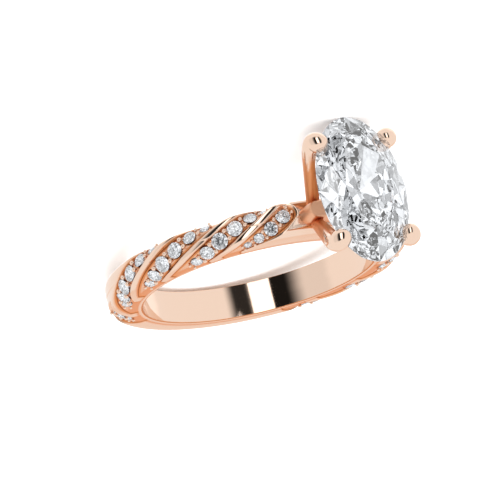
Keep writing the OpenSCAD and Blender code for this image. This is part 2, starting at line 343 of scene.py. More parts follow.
    def seat(self, k: int, w: float, share: float, rise: float, side: Shoulder) -> tuple[Vector, Vector]:
        """Returns a point above a field's floor and the outward direction there.

        Args:
            k: The field, counted from the head.
            w: The place across the band.
            share: The share of the way across the field.
            rise: The height above the floor.
            side: The shoulder.

        Returns:
            The point and the unit normal.
        """
        angle = math.radians(self.between(k, w, share)) * side.value
        lean = self.lean(w)
        r, z = self.field_at(w)
        r, z = r + rise * math.cos(lean), z + rise * math.sin(lean)
        return Vector((r * math.cos(angle), r * math.sin(angle), z)), toward(angle, lean)


def mark_painted_shade(piece: Object, values: Iterable[float]) -> None:
    """Stores the painted shade of each point of a piece, from 0 to 1, for the finish to read."""
    layer = piece.data.attributes.new(PAINTED_SHADE, "FLOAT", "POINT")
    layer.data.foreach_set("value", list(values))


def as_mesh(name: str, bm: BMesh) -> Mesh:
    """Turns a BMesh into a mesh.

    Args:
        name: The mesh's name.
        bm: The BMesh. It is freed.

    Returns:
        The new mesh.
    """
    mesh = bpy.data.meshes.new(name)
    bm.to_mesh(mesh)
    bm.free()
    return mesh


def linked(name: str, data: ID) -> Object:
    """Makes an object and links it to the scene.

    Args:
        name: The object's name.
        data: Its mesh or camera.

    Returns:
        The new object.
    """
    made = bpy.data.objects.new(name, data)
    bpy.context.scene.collection.objects.link(made)
    return made


def laid_object(name: str, bm: BMesh, pose: RestPose, smooth: bool) -> Object:
    """Lays a finished mesh in the row's frame and makes it an object.

    Args:
        name: The piece's name.
        bm: The mesh in the ring's frame, in millimetres. It is freed.
        pose: How the ring lies.
        smooth: Whether the faces are shaded smooth.

    Returns:
        The new object, linked to the scene.
    """
    bmesh.ops.recalc_face_normals(bm, faces=bm.faces)
    for face in bm.faces:
        face.smooth = smooth
    bm.transform(pose.matrix())
    return linked(name, as_mesh(name, bm))


@dataclass(frozen=True)
class Column:
    """One line across the band's surface, with its angle and height as functions of the place across, and the
    painted shade of a field's floor.
    """

    angle: Callable[[float], float]
    raised: Callable[[float], float] = lambda w: 1.0
    stones_field: int = -1
    # shade and end_shade are painted shade: how dark a field's floor and its bare ends are painted.
    shade: float = 1.0
    end_start: float = 0.6
    end_run: float = 0.15
    end_shade: float = 0.5

    def painted_shade(self, w: float) -> float:
        """Returns the painted shade of the line at a place across the band, from 0 to 1, laid on a field's
        floor and its bare ends.
        """
        bare_end = clamp((abs(w) - self.end_start) / self.end_run)
        return (1 - self.raised(w)) * max(self.shade, bare_end * self.end_shade)


@dataclass
class Band:
    """The band: a cross-section spun round the finger, whose lines are then laid along the ribs."""

    form: BandForm
    pose: RestPose
    across_steps: int = 44
    crowding: float = 0.9
    side_shares: tuple[float, ...] = (0.35, 0.7, 1.0)
    edge_shares: tuple[float, ...] = (0.35, 0.7)
    rib_power: int = 4
    rib_columns: tuple[float, ...] = (-1, -0.93, -0.8, -0.6, -0.3, 0, 0.3, 0.6, 0.8, 0.93, 1)
    field_columns: int = 13
    head_columns: int = 26
    back_columns: int = 56
    wall_steps: int = 6
    seat_slope: float = 0.95
    seat_step: float = 0.05
    seat_limit: float = 0.86
    spine_r: float = 10.0
    edge_bulge: float = 0.02
    # Painted shade on a field's floor: full by the rib feet, fading to a lighter share in the middle.
    floor_painted_shade: float = 0.3
    floor_run: float = 0.13
    # Painted shade on the eased edge, down the sides, along the skin's rolled edge and beside the head.
    edge_painted_shade: float = 0.85
    side_painted_shade: float = 0.55
    rolled_start: float = 0.9
    head_painted_shade: float = 0.12
    head_painted_shade_end: float = 17.0
    head_painted_shade_run: float = 7.0

    def rib_height(self, share: float) -> float:
        """Returns the height of a rib's rounded section at a share of its half width."""
        return max(0.0, 1 - abs(share) ** self.rib_power) ** 0.5

    def shoulder(self) -> list[Column]:
        """Lines up the fields and ribs of one shoulder.

        Returns:
            The columns from the head to the back.
        """
        form = self.form
        rows = [
            Column(lambda w: form.guide_at(0, w) - form.step_top),
            Column(lambda w: form.guide_at(0, w) + form.step_foot, lambda w: 1 - form.opened(0, w)),
        ]
        for k in range(form.last):
            for i in range(self.field_columns):
                share = (i + 1) / (self.field_columns + 1)
                # Painted shade, full by the rib feet and lighter in the middle of the field.
                shade = mix(1.0, self.floor_painted_shade, clamp(min(share, 1 - share) / self.floor_run))
                rows.append(self.floor_line(k, share, shade))
            if k + 1 < form.last:
                rows.extend(self.rib(k + 1))
        last = form.last
        return [
            *rows,
            Column(lambda w: form.guide_at(last, w) - form.step_foot, lambda w: 1 - form.opened(last - 1, w)),
            Column(lambda w: form.guide_at(last, w) + form.step_top),
        ]

    def floor_line(self, k: int, share: float, shade: float) -> Column:
        """Returns the column at a share of the way across the field after guide k, with its painted shade."""
        form = self.form
        return Column(lambda w: form.between(k, w, share), lambda w: 1 - form.opened(k, w), k, shade)

    def rib(self, k: int) -> list[Column]:
        """Rounds a rib over its guide.

        Args:
            k: The guide, counted from the head.

        Returns:
            The rib's columns.
        """
        form = self.form
        rows = []
        for share in self.rib_columns:
            beside = k if share > 0 else k - 1
            rows.append(
                Column(
                    lambda w, k=k, s=share: form.guide_at(k, w) + s * form.foot_half,
                    lambda w, k=beside, h=self.rib_height(share): max(h, 1 - form.opened(k, w)),
                )
            )
        return rows

    def columns(self) -> list[tuple[Column, Shoulder]]:
        """Lines up both shoulders, the head's foot and the plain back.

        Returns:
            Each column and its shoulder, starting under the middle of the head.
        """
        form, last = self.form, self.form.last

        def front(w: float, share: float) -> float:
            """Returns the angle at a share of the way from the head's middle to the first field."""
            return (form.guide_at(0, w) - form.step_top) * share

        def back(w: float, share: float) -> float:
            """Returns the angle at a share of the way round the back."""
            near = form.guide_at(last, w) + form.step_top
            return mix(near, 360 - near, share)

        ahead, behind = self.head_columns, self.back_columns
        half_head = [Column(lambda w, s=i / ahead: front(w, s)) for i in range(ahead)]
        plain = [Column(lambda w, s=i / behind: back(w, s)) for i in range(1, behind)]
        shoulder = self.shoulder()
        left = [(c, Shoulder.LEFT) for c in half_head + shoulder + plain]
        right = [(c, Shoulder.RIGHT) for c in reversed(half_head[1:] + shoulder)]
        return left + right

    def profile(self) -> list[tuple[str, float]]:
        """Lists the stations of one cross-section.

        Returns:
            The stations, from the middle of the outer skin down one side, over the wall and up the other.
        """
        n = self.across_steps
        half = [("outer", (i / n) ** self.crowding) for i in range(n + 1)]
        half += [("side", share) for share in self.side_shares]
        half += [("edge", share) for share in self.edge_shares]
        wall = [("wall", 1 - 2 * i / self.wall_steps) for i in range(self.wall_steps + 1)]
        return half + wall + [(kind, -value) for kind, value in reversed(half[1:])]

    def station(self, kind: str, value: float, column: Column, side: Shoulder) -> Vector:
        """Returns the point of one station on one column.

        Args:
            kind: outer, side, edge or wall.
            value: The place across the skin, or the share of the side, edge or wall, with its sign.
            column: The column.
            side: The shoulder that the column is on.

        Returns:
            The point in the ring's frame.
        """
        form, share = self.form, abs(value)
        at = value if kind in ("outer", "wall") else math.copysign(1, value)
        angle = column.angle(at)
        bore_half = form.half_w - form.eased_slope * form.eased_edge
        foot_r = form.finger_r + form.eased_edge
        if kind == "wall":
            r, z = form.finger_r, value * bore_half
        elif kind == "edge":
            bulge = self.edge_bulge * math.sin(math.pi * share)
            r = mix(foot_r, form.finger_r, share)
            z = at * (mix(form.half_w, bore_half, share) + bulge)
        else:
            r, z = form.outer(angle, at, column.raised(at))
            if kind == "side":
                r, z = mix(r, foot_r, share), mix(z, at * form.half_w, share)
        turn = math.radians(angle) * side.value
        return Vector((r * math.cos(turn), r * math.sin(turn), z))

    def painted_tone(self, kind: str, value: float, column: Column) -> float:
        """Returns the painted shade of a station, from 0 to 1.

        Args:
            kind: outer, side, edge or wall.
            value: The place across the skin, or the share of the side, edge or wall, with its sign.
            column: The column.

        Returns:
            The depth of painted shade.
        """
        # Painted shade: the eased edge at a fixed depth, the sides darker towards the outer skin, the skin's
        # rolled edge and the band beside the head.
        if kind == "edge":
            return self.edge_painted_shade
        if kind == "wall":
            return 0.0
        angle = abs(column.angle(math.copysign(1, value) if kind == "side" else value))
        beside = clamp((self.head_painted_shade_end - min(angle, 360 - angle)) / self.head_painted_shade_run) * self.head_painted_shade
        if kind == "side":
            return max(beside, self.side_painted_shade * (1 - abs(value)) ** 2)
        rolled = self.side_painted_shade * clamp((abs(value) - self.rolled_start) / (1 - self.rolled_start))
        return max(column.painted_shade(value), beside, rolled)

    def sunk(self, point: Vector, places: Iterable[Seat]) -> Vector:
        """Returns a point of a field's floor, sunk into the conical seat of a stone that stands over it.

        Args:
            point: The point on the floor.
            places: The girdle's middle, the direction of the table and the radius of each stone.

        Returns:
            The point, moved down where a stone is.
        """
        for centre, normal, radius in places:
            offset = point - centre
            height = offset.dot(normal)
            reach = (offset - normal * height).length
            if reach < radius:
                return point - normal * (self.seat_step + self.seat_slope * (radius - reach))
        return point

    def stone_places(self) -> dict[tuple[int, Shoulder], list[Seat]]:
        """Places the small stones over the fields' floors.

        Returns:
            Each stone's girdle centre, normal and radius, by field and shoulder.
        """
        form = self.form
        found = {}
        for side in Shoulder:
            for k in range(form.last):
                rows = []
                for stone in form.stones_of(k):
                    d = form.melee_d * stone.size
                    rise = form.melee_lift - form.small_drop * (form.melee_d - d)
                    centre, normal = form.seat(k, stone.across, 0.5, rise, side)
                    rows.append(Seat(centre, normal, d / 2))
                found[k, side] = rows
        return found

    def build(self) -> Object:
        """Spins the cross-section, lays its columns along the ribs, sinks the seats and stores each point's
        painted shade.

        Returns:
            The band.
        """
        columns, profile = self.columns(), self.profile()
        rounds, sides = len(columns), len(profile)
        bm = bmesh.new()
        loop = bmesh.ops.create_circle(bm, segments=sides, radius=1.0)["verts"]
        upright = Matrix.Translation((self.spine_r, 0, 0)) @ Matrix.Rotation(math.pi / 2, 4, "X")
        bmesh.ops.transform(bm, matrix=upright, verts=loop)
        edges, up = list(bm.edges), (0, 0, 1)
        bmesh.ops.spin(bm, geom=edges, axis=up, angle=math.tau, steps=rounds, use_merge=True)
        places = self.stone_places()
        wall, painted_shade = [], []
        bm.verts.ensure_lookup_table()
        for vert in bm.verts:
            x, y, z = vert.co
            i = round(math.atan2(y, x) / math.tau * rounds) % rounds
            j = round(math.atan2(z, math.hypot(x, y) - self.spine_r) / math.tau * sides) % sides
            column, side = columns[i]
            kind, value = profile[j]
            point = self.station(kind, value, column, side)
            painted_tone = self.painted_tone(kind, value, column)
            if kind == "outer" and column.stones_field >= 0 and abs(value) < self.seat_limit:
                floor = point
                point = self.sunk(floor, places[column.stones_field, side])
                # A sunk seat is painted at full shade, a dark ring round each stone.
                painted_tone = painted_tone if point is floor else 1.0
            painted_shade.append(painted_tone)
            if kind == "wall":
                wall.append(vert.index)
            vert.co = point
        piece = laid_object("band", bm, self.pose, True)
        mark_painted_shade(piece, painted_shade)
        self.true_wall(piece, set(wall))
        return piece

    def true_wall(self, piece: Object, wall: set[int]) -> None:
        """Gives the finger hole's wall the exact normals of a cylinder.

        Args:
            piece: The band.
            wall: The indices of the wall's vertices.
        """
        axis, normals = self.pose.finger, []
        for vert in piece.data.vertices:
            inward = self.pose.centre - vert.co
            inward = (inward - axis * inward.dot(axis)).normalized()
            normals.append(inward if vert.index in wall else Vector((0, 0, 0)))
        piece.data.normals_split_custom_set_from_vertices(normals)


@dataclass
class Beads:
    """The beads of gold that hold the small stones, raised in pairs between neighbours and at both ends."""

    band: Band
    radius: float = 0.175
    rise: float = 0.11
    aside: float = 0.33
    least_size: float = 0.62
    beyond: float = 0.12
    end_drop: float = 0.04
    end_size: float = 0.8
    end_step: float = 0.1
    least_opened: float = 0.3
    segments: tuple[int, int] = (14, 9)

    def pair(self, at: Vector, along: Vector, normal: Vector, share: float) -> list[tuple[Vector, float]]:
        """Returns the two beads at one gap.

        Args:
            at: The middle of the gap, at the height of the girdles.
            along: The direction of the row of stones.
            normal: The outward direction.
            share: The size of the stones there, as a share of the widest.

        Returns:
            Each bead's centre and radius.
        """
        size = clamp(share + 0.1, self.least_size, 1.0)
        side = normal.cross(along).normalized() * self.aside * size
        return [(at + side * way + normal * self.rise, self.radius * size) for way in (1, -1)]

    def places(self, k: int, side: Shoulder) -> list[tuple[Vector, float]]:
        """Places the beads of one field.

        Args:
            k: The field, counted from the head.
            side: The shoulder.

        Returns:
            Each bead's centre and radius.
        """
        form = self.band.form
        stones = form.stones_of(k)
        rows = self.band.stone_places()[k, side]
        found = []
        for (a, na, ra), (b, nb, rb), p, q in zip(rows, rows[1:], stones, stones[1:]):
            middle = a + (b - a) * (0.5 + (ra - rb) / (b - a).length / 2)
            if form.opened(k, mix(p.across, q.across, 0.5)) > self.least_opened:
                found.extend(self.pair(middle, b - a, (na + nb).normalized(), (p.size + q.size) / 2))
        for (a, na, ra), (b, _, _), stone, way in (
            (rows[0], rows[1], stones[0], -1),
            (rows[-1], rows[-2], stones[-1], 1),
        ):
            if form.opened(k, stone.across + way * self.end_step) > self.least_opened:
                along = (a - b).normalized()
                at = a + along * (ra + self.beyond * stone.size) - na * self.end_drop
                found.extend(self.pair(at, along, na, stone.size * self.end_size))
        return found

    def build(self) -> Object:
        """Raises all the beads.

        Returns:
            The beads, in one piece.
        """
        bm = bmesh.new()
        u, v = self.segments
        for side in Shoulder:
            for k in range(self.band.form.last):
                for at, radius in self.places(k, side):
                    place = Matrix.Translation(at)
                    bmesh.ops.create_uvsphere(bm, u_segments=u, v_segments=v, radius=radius, matrix=place)
        return laid_object("beads", bm, self.band.pose, True)


@dataclass(frozen=True)
class FacetRow:
    """One row of facets: how many, the first one's turn, their slope and their reach at a height."""

    count: int
    turn: float
    slope: float
    reach: float
    height: float


@dataclass
class Brilliant:
    """A brilliant cut, ground facet by facet from an upright blank as on a wheel.

    Sizes are shares of the width. A longer stone is the round one drawn out along X.
    """

    length: float
    width: float
    girdle_segments: int
    blank_depth: float = 1.2
    table: float = 0.28
    table_rise: float = 0.155
    girdle_half: float = 0.012
    star_slope: float = 21.0
    break_slope: float = 41.0
    main_slope: float = 40.6
    lower_slope: float = 42.3

    def rows(self) -> list[FacetRow]:
        """Lays out the facets.

        Returns:
            The mains, stars and breaks of the crown, then the mains and breaks of the pavilion.
        """
        g = self.girdle_half
        crown = math.degrees(math.atan2(self.table_rise - g, 0.5 - self.table))
        star, split = 180 / 8, 180 / 16
        star_reach = self.table * math.cos(math.radians(star))
        half = 0.5 * math.cos(math.radians(split))
        return [
            FacetRow(8, 0, crown, 0.5, g),
            FacetRow(8, star, self.star_slope, star_reach, self.table_rise),
            FacetRow(16, split, self.break_slope, half, g),
            FacetRow(8, 0, -self.main_slope, 0.5, -g),
            FacetRow(16, split, -self.lower_slope, half, -g),
        ]

    def grind(self, bm: BMesh, at: Vector, out: Vector) -> None:
        """Grinds one flat facet.

        Args:
            bm: The stone.
            at: A point on the facet.
            out: The facet's outward direction.
        """
        everything = list(bm.verts) + list(bm.edges) + list(bm.faces)
        bmesh.ops.bisect_plane(bm, geom=everything, dist=1e-6, plane_co=at, plane_no=out, clear_outer=True)
        rim = [edge for edge in bm.edges if edge.is_boundary]
        if rim:
            bmesh.ops.holes_fill(bm, edges=rim, sides=0)

    def mesh(self) -> Mesh:
        """Grinds the whole stone.

        Returns:
            The cut stone, with the middle of its girdle at the origin and its table up.
        """
        bm = bmesh.new()
        sides, depth = self.girdle_segments, self.blank_depth
        bmesh.ops.create_cone(bm, cap_ends=True, segments=sides, radius1=0.5, radius2=0.5, depth=depth)
        self.grind(bm, Vector((0, 0, self.table_rise)), Vector((0, 0, 1)))
        for row in self.rows():
            for i in range(row.count):
                turn = math.radians(row.turn + 360 * i / row.count)
                slope = math.radians(abs(row.slope))
                out = Vector((math.sin(slope), 0, math.copysign(math.cos(slope), row.slope)))
                around = Matrix.Rotation(turn, 3, "Z")
                self.grind(bm, around @ Vector((row.reach, 0, row.height)), around @ out)
        bmesh.ops.remove_doubles(bm, verts=list(bm.verts), dist=2e-4)
        bmesh.ops.scale(bm, vec=(self.length, self.width, self.width), verts=bm.verts)
        bmesh.ops.recalc_face_normals(bm, faces=bm.faces)
        return as_mesh("cut_stone", bm)

    def add_to(self, bm: BMesh, place: Matrix, cut: Mesh) -> None:
        """Adds a copy of the cut stone to a mesh.

        Args:
            bm: The mesh that takes the stone.
            place: Where the stone stands, with its table along the place's +Z.
            cut: The cut stone.
        """
        known = set(bm.verts)
        bm.from_mesh(cut)
        new = [vert for vert in bm.verts if vert not in known]
        bmesh.ops.transform(bm, matrix=place, verts=new)


def standing(at: Vector, normal: Vector, turn: float = 0.0) -> Matrix:
    """Returns the placing of a stone whose table faces along the normal."""
    upright = normal.to_track_quat("Z", "Y").to_matrix().to_4x4()
    return Matrix.Translation(at) @ upright @ Matrix.Rotation(turn, 4, "Z")


@dataclass
class SmallStones:
    """The small round brilliants of one shoulder."""

    band: Band
    side: Shoulder
    girdle_segments: int = 32
    turn_step: float = 0.37

    def build(self) -> Object:
        """Sets the shoulder's stones, each turned a little further than the one before.

        Returns:
            The stones, in one piece.
        """
        bm = bmesh.new()
        stone = Brilliant(1.0, 1.0, self.girdle_segments)
        cut = stone.mesh()
        turn = 0.0
        for (_, side), rows in self.band.stone_places().items():
            if side is not self.side:
                continue
            for centre, normal, radius in rows:
                turn += self.turn_step
                stone.add_to(bm, standing(centre, normal, turn) @ Matrix.Scale(2 * radius, 4), cut)
        return laid_object(f"small_stones_{self.side.name.lower()}", bm, self.band.pose, False)


@dataclass
class OvalStone:
    """The oval centre stone, its long way along the finger."""

    pose: RestPose
    length: float = 10.64
    width: float = 7.02
    girdle_rise: float = 15.82
    girdle_segments: int = 96

    def seat(self) -> Matrix:
        """Returns the stone's placing: table towards the head, long way along the finger."""
        return Matrix.Translation((self.girdle_rise, 0, 0)) @ Matrix.Rotation(math.pi / 2, 4, "Y")

    def build(self) -> Object:
        """Cuts and sets the stone.

        Returns:
            The stone.
        """
        bm = bmesh.new()
        stone = Brilliant(self.length, self.width, self.girdle_segments)
        stone.add_to(bm, self.seat(), stone.mesh())
        return laid_object("oval_stone", bm, self.pose, False)


class Station(NamedTuple):
    """One station of a claw: height, distance across, distance along and radius."""

    height: float
    across: float
    along: float
    radius: float


@dataclass
class Head:
    """The four-claw head: a collar block on the band and four legs with rounded tips."""

    pose: RestPose
    stone: OvalStone
    claw: tuple[Station, ...] = tuple(
        Station(*row)
        for row in (
            (10.70, 1.05, 0.55, 0.42),
            (11.60, 1.42, 1.05, 0.48),
            (12.60, 1.84, 1.72, 0.53),
            (13.80, 2.34, 2.50, 0.59),
            (15.00, 2.84, 3.28, 0.64),
            (15.45, 2.95, 3.54, 0.68),
            (15.80, 2.95, 3.64, 0.71),
            (16.05, 2.86, 3.56, 0.72),
            (16.28, 2.70, 3.42, 0.65),
            (16.46, 2.55, 3.28, 0.48),
            (16.55, 2.45, 3.18, 0.22),
        )
    )
    sides: int = 24
    between: int = 3
    notch_gap: float = 0.03
    mould_segments: int = 64
    # Painted shade on the claws: their faces towards the space under the stone and their undersides are
    # painted darker.
    inner_top: float = 15.7
    inner_run: float = 1.2
    inner_painted_shade: float = 0.8
    facing_start: float = -0.15
    facing_run: float = 0.5
    under_top: float = 15.0
    under_foot: float = 12.6
    under_tilt: tuple[float, float] = (-0.51, 0.86)
    under_run: float = 0.15
    under_painted_shade: float = 0.5
    # The collar is painted evenly in shade, as it stands under the stone.
    collar_painted_shade: float = 0.36
    collar_l: float = 4.6
    collar_w: float = 1.25
    collar_foot: float = 10.3
    collar_top: float = 12.3
    collar_edge: float = 0.12
    collar_edge_steps: int = 4
    collar_segments: int = 48

    def smooth_claw(self) -> list[Station]:
        """Fills in the claw's curve.

        Returns:
            The claw's stations with smooth ones between them.
        """
        padded = [self.claw[0], *self.claw, self.claw[-1]]
        found = []
        for window in zip(padded, padded[1:], padded[2:], padded[3:]):
            for i in range(self.between):
                found.append(Station(*(spline(*values, i / self.between) for values in zip(*window))))
        return [*found, self.claw[-1]]

    def add_claw(self, bm: BMesh, across: int, along: int) -> None:
        """Sweeps one claw from its foot to its tip.

        Args:
            bm: The mesh that takes the claw.
            across: 1 or -1, the side of the head.
            along: 1 or -1, the end of the stone.
        """
        stations = self.smooth_claw()
        points = [Vector((s.height, s.across * across, s.along * along)) for s in stations]
        frames = []
        for i, station in enumerate(stations):
            ahead = (points[min(i + 1, len(points) - 1)] - points[max(i - 1, 0)]).normalized()
            sideways = Vector((0, 1, 0)).cross(ahead).normalized()
            turn = Matrix((sideways, ahead.cross(sideways), ahead)).transposed().to_4x4()
            frames.append(Matrix.Translation(points[i]) @ turn @ Matrix.Scale(station.radius, 4))
        swept_tube(bm, frames, self.sides)

    def claws(self) -> Object:
        """Builds the four claws and cuts the stone's seat into them.

        Returns:
            The claws.
        """
        gap = 2 * self.notch_gap
        grown = Brilliant(self.stone.length + gap, self.stone.width + gap, self.mould_segments)
        mould = grown.mesh()
        cut = bmesh.new()
        for across in (1, -1):
            for along in (1, -1):
                bm, cutter = bmesh.new(), bmesh.new()
                self.add_claw(bm, across, along)
                bmesh.ops.recalc_face_normals(bm, faces=bm.faces)
                grown.add_to(cutter, self.stone.seat(), mould)
                bmesh.ops.recalc_face_normals(cutter, faces=cutter.faces)
                cut_away(bm, cutter, cut)
        cut.normal_update()
        # Painted shade on the claws' inner and lower faces.
        painted_shade = [self.inner(vert.co, vert.normal) for vert in cut.verts]
        piece = laid_object("claws", cut, self.pose, True)
        mark_painted_shade(piece, painted_shade)
        piece.data.set_sharp_from_angle(angle=SHARP_ANGLE)
        return piece

    def inner(self, point: Vector, normal: Vector) -> float:
        """Judges how much painted shade a point of the claws gets, by how far it faces the space under the
        stone or the band.

        Args:
            point: The point, in the ring's frame.
            normal: Its normal.

        Returns:
            The depth of painted shade, from 0 to 1.
        """
        inward = -Vector((0.0, point.y, point.z)).normalized()
        facing = clamp((normal.dot(inward) - self.facing_start) / self.facing_run)
        low = clamp((self.inner_top - point.x) / self.inner_run)
        down, aside = self.under_tilt
        turned_down = normal.dot(Vector((down, math.copysign(aside, point.y), 0)))
        limit = 1 - 2 * clamp((self.under_top - point.x) / (self.under_top - self.under_foot))
        under = clamp((turned_down - limit) / self.under_run) * self.under_painted_shade
        return max(facing * low * self.inner_painted_shade, under)

    def collar(self) -> Object:
        """Extrudes and eases the block that carries the claws on the band.

        Returns:
            The collar.
        """
        bm = bmesh.new()
        sides, radius = self.collar_segments, self.collar_w / 2
        disc = bmesh.ops.create_circle(bm, cap_ends=True, segments=sides, radius=radius)["verts"]
        reach = (self.collar_l - self.collar_w) / 2
        for vert in disc:
            vert.co.y += math.copysign(reach, vert.co.y) if abs(vert.co.y) > 1e-6 else 0
        turn = Matrix.Translation((self.collar_foot, 0, 0)) @ Matrix.Rotation(math.pi / 2, 4, "Y")
        bmesh.ops.transform(bm, matrix=turn, verts=disc)
        made = bmesh.ops.extrude_face_region(bm, geom=list(bm.faces))["geom"]
        top = [g for g in made if isinstance(g, BMVert)]
        bmesh.ops.translate(bm, vec=(self.collar_top - self.collar_foot, 0, 0), verts=top)
        rim = [g for g in made if isinstance(g, BMEdge)]
        edge, steps = self.collar_edge, self.collar_edge_steps
        bmesh.ops.bevel(bm, geom=rim, offset=edge, segments=steps, profile=0.5, affect="EDGES", material=-1)
        piece = laid_object("collar", bm, self.pose, True)
        # The whole collar is painted in shade.
        mark_painted_shade(piece, [self.collar_painted_shade] * len(piece.data.vertices))
        piece.data.set_sharp_from_angle(angle=SHARP_ANGLE)
        return piece


def spline(p: float, q: float, r: float, s: float, t: float) -> float:
    """Returns the value at a share t of the way from q to r on a smooth curve through p, q, r and s."""
    return 0.5 * (2 * q + (r - p) * t + (2 * p - 5 * q + 4 * r - s) * t**2 + (3 * q - p - 3 * r + s) * t**3)


def swept_tube(bm: BMesh, frames: list[Matrix], sides: int) -> None:
    """Wraps a grid round a row of circles and closes both ends.

    Args:
        bm: The mesh that takes the tube.
        frames: The placing and scale of each circle, which lies in the frame's XY plane.
        sides: The number of faces round the tube.
    """
    last = len(frames) - 1
    grid = bmesh.ops.create_grid(bm, x_segments=last, y_segments=sides, size=1)["verts"]
    for vert in grid:
        frame = frames[round((vert.co.x + 1) / 2 * last)]
        turn = (vert.co.y + 1) * math.pi
        vert.co = frame @ Vector((math.cos(turn), math.sin(turn), 0))
    bmesh.ops.remove_doubles(bm, verts=grid, dist=1e-4)
    rims = [edge for edge in bm.edges if edge.is_boundary]
    bmesh.ops.holes_fill(bm, edges=rims, sides=0)


def cut_away(bm: BMesh, cutter: BMesh, left: BMesh) -> None:
    """Cuts one closed shape out of another and adds what is left to a third mesh.

    Args:
        bm: The shape to cut. It is freed.
        cutter: The shape to take away. It is freed.
        left: The mesh that takes the rest.
    """
    made = [linked(name, as_mesh(name, shape)) for name, shape in (("to_cut", bm), ("cutter", cutter))]
    modifier = made[0].modifiers.new("seat", "BOOLEAN")
    modifier.operation, modifier.solver, modifier.object = "DIFFERENCE", "EXACT", made[1]
    modifier.use_self = True
    left.from_object(made[0], bpy.context.evaluated_depsgraph_get())
    for obj in made:
        mesh = obj.data
        bpy.data.objects.remove(obj)
        bpy.data.meshes.remove(mesh)


class Web:
    """A small helper that adds nodes to a node tree and links them."""

    def __init__(self, tree: NodeTree) -> None:
        """Clears the tree.

        Args:
            tree: The tree to fill.
        """
        self.tree = tree
        tree.nodes.clear()

    def add(self, kind: str, links: dict | None = None, **settings: object) -> Node:
        """Adds a node.

        Args:
            kind: The node's type.
            links: What each input socket, by name or number, is linked to or set to.
            **settings: The node's own settings.

        Returns:
            The node.
        """
        node = self.tree.nodes.new(kind)
        for name, value in settings.items():
            setattr(node, name, value)
        for key, value in (links or {}).items():
            self.join(value, node.inputs[key])
        return node

    def join(self, value: object, socket: NodeSocket) -> None:
        """Links an input, or sets it.

        Args:
            value: A socket or a plain value.
            socket: The input.
        """
        if isinstance(value, NodeSocket):
            self.tree.links.new(value, socket)
        else:
            socket.default_value = value

    def math(self, operation: str, *values: object) -> NodeSocket:
        """Returns the result of a Math node on numbers or sockets."""
        return self.add("ShaderNodeMath", dict(enumerate(values)), operation=operation).outputs[0]

    def dot(self, a: NodeSocket, b: Vector) -> NodeSocket:
        """Returns the dot product of a socket and a fixed vector."""
        return self.add("ShaderNodeVectorMath", {0: a, 1: tuple(b)}, operation="DOT_PRODUCT").outputs["Value"]

    def smooth(self, value: NodeSocket, start: float, end: float) -> NodeSocket:
        """Returns 0 to 1 as a socket goes smoothly from start to end."""
        links = {"Value": value, "From Min": start, "From Max": end}
        return self.add("ShaderNodeMapRange", links, interpolation_type="SMOOTHSTEP").outputs["Result"]

    def mix(self, share: object, before: object, after: object) -> NodeSocket:
        """Returns the colour at a share of the way from one to the other."""
        return self.add("ShaderNodeMix", {0: share, 6: before, 7: after}, data_type="RGBA").outputs[2]

    def spread(self, value: object, ends: tuple[float, float]) -> NodeSocket:
        """Returns a value from 0 to 1 spread over a range."""
        links = {"Value": value, "To Min": ends[0], "To Max": ends[1]}
        return self.add("ShaderNodeMapRange", links).outputs["Result"]

    def surface(self, links: dict) -> None:
        """Adds the Principled shader and the material's output."""
        shader = self.add("ShaderNodeBsdfPrincipled", links)
        self.add("ShaderNodeOutputMaterial", {"Surface": shader.outputs[0]})


def new_material(name: str) -> tuple[Material, Web]:
    """Makes a material.

    Args:
        name: The material's name.

    Returns:
        The material and its empty node tree.
    """
    mat = bpy.data.materials.new(name)
    mat.use_nodes = True
    return mat, Web(mat.node_tree)


def grey_of(shade: float) -> tuple[float, ...]:
    """Returns the opaque grey of a shade."""
    return (shade,) * 3 + (1.0,)


@dataclass(frozen=True)
class PolishedGold:
    """Polished rose gold with the faint lines and clouds of the buffing wheel, and painted shade that turns
    it darker and redder in its recesses and creases.
    """

    name: str
    colour: tuple[float, float, float]
    # The two darker colours are painted shade, laid on by the painted-shade attribute, the second in the
    # deepest creases.
    painted_shade_colour: tuple[float, float, float]
    crease_painted_shade_colour: tuple[float, float, float]
    painted_shade_at: float = 0.6
    crease_painted_shade_at: tuple[float, float] = (0.75, 1.0)
    roughness: tuple[float, float] = (0.03, 0.07)
    recess_roughness: float = 0.7
    line_scale: float = 9000.0
    line_turn: tuple[float, float, float] = (0.3, 0.5, 0.2)
    line_stretch: float = 9.0
    line_depth: float = 0.02
    line_height: float = 0.00001
    cloud_size: float = 0.0021

    def material(self) -> Material:
        """Mixes the finish.

        Returns:
            The material.
        """
        mat, web = new_material(self.name)
        place = web.add("ShaderNodeTexCoord").outputs["Object"]
        clouds = web.add("ShaderNodeTexNoise", {"Vector": place, "Scale": 1 / self.cloud_size, "Detail": 3.0})
        laid = {"Vector": place, "Rotation": self.line_turn, "Scale": (1, self.line_stretch, 1)}
        laid = web.add("ShaderNodeMapping", laid).outputs[0]
        grain = {"Vector": laid, "Scale": self.line_scale, "Detail": 2.0}
        lines = web.add("ShaderNodeTexNoise", grain).outputs[0]
        rough = web.spread(clouds.outputs[0], self.roughness)
        relief = {"Height": lines, "Strength": self.line_depth, "Distance": self.line_height}
        normal = web.add("ShaderNodeBump", relief).outputs["Normal"]
        painted_shade = web.add("ShaderNodeAttribute", attribute_name=PAINTED_SHADE).outputs["Fac"]
        dull = web.math("MULTIPLY_ADD", painted_shade, self.recess_roughness, rough)
        # Mixes the painted shade colours into the gold.
        tint: object = (*self.colour, 1.0)
        for colour, start, end in ((self.painted_shade_colour, 0.0, self.painted_shade_at), (self.crease_painted_shade_colour, *self.crease_painted_shade_at)):
            tint = web.mix(web.smooth(painted_shade, start, end), tint, (*colour, 1.0))
        web.surface({"Base Color": tint, "Metallic": 1.0, "Roughness": dull, "Normal": normal})
        return mat


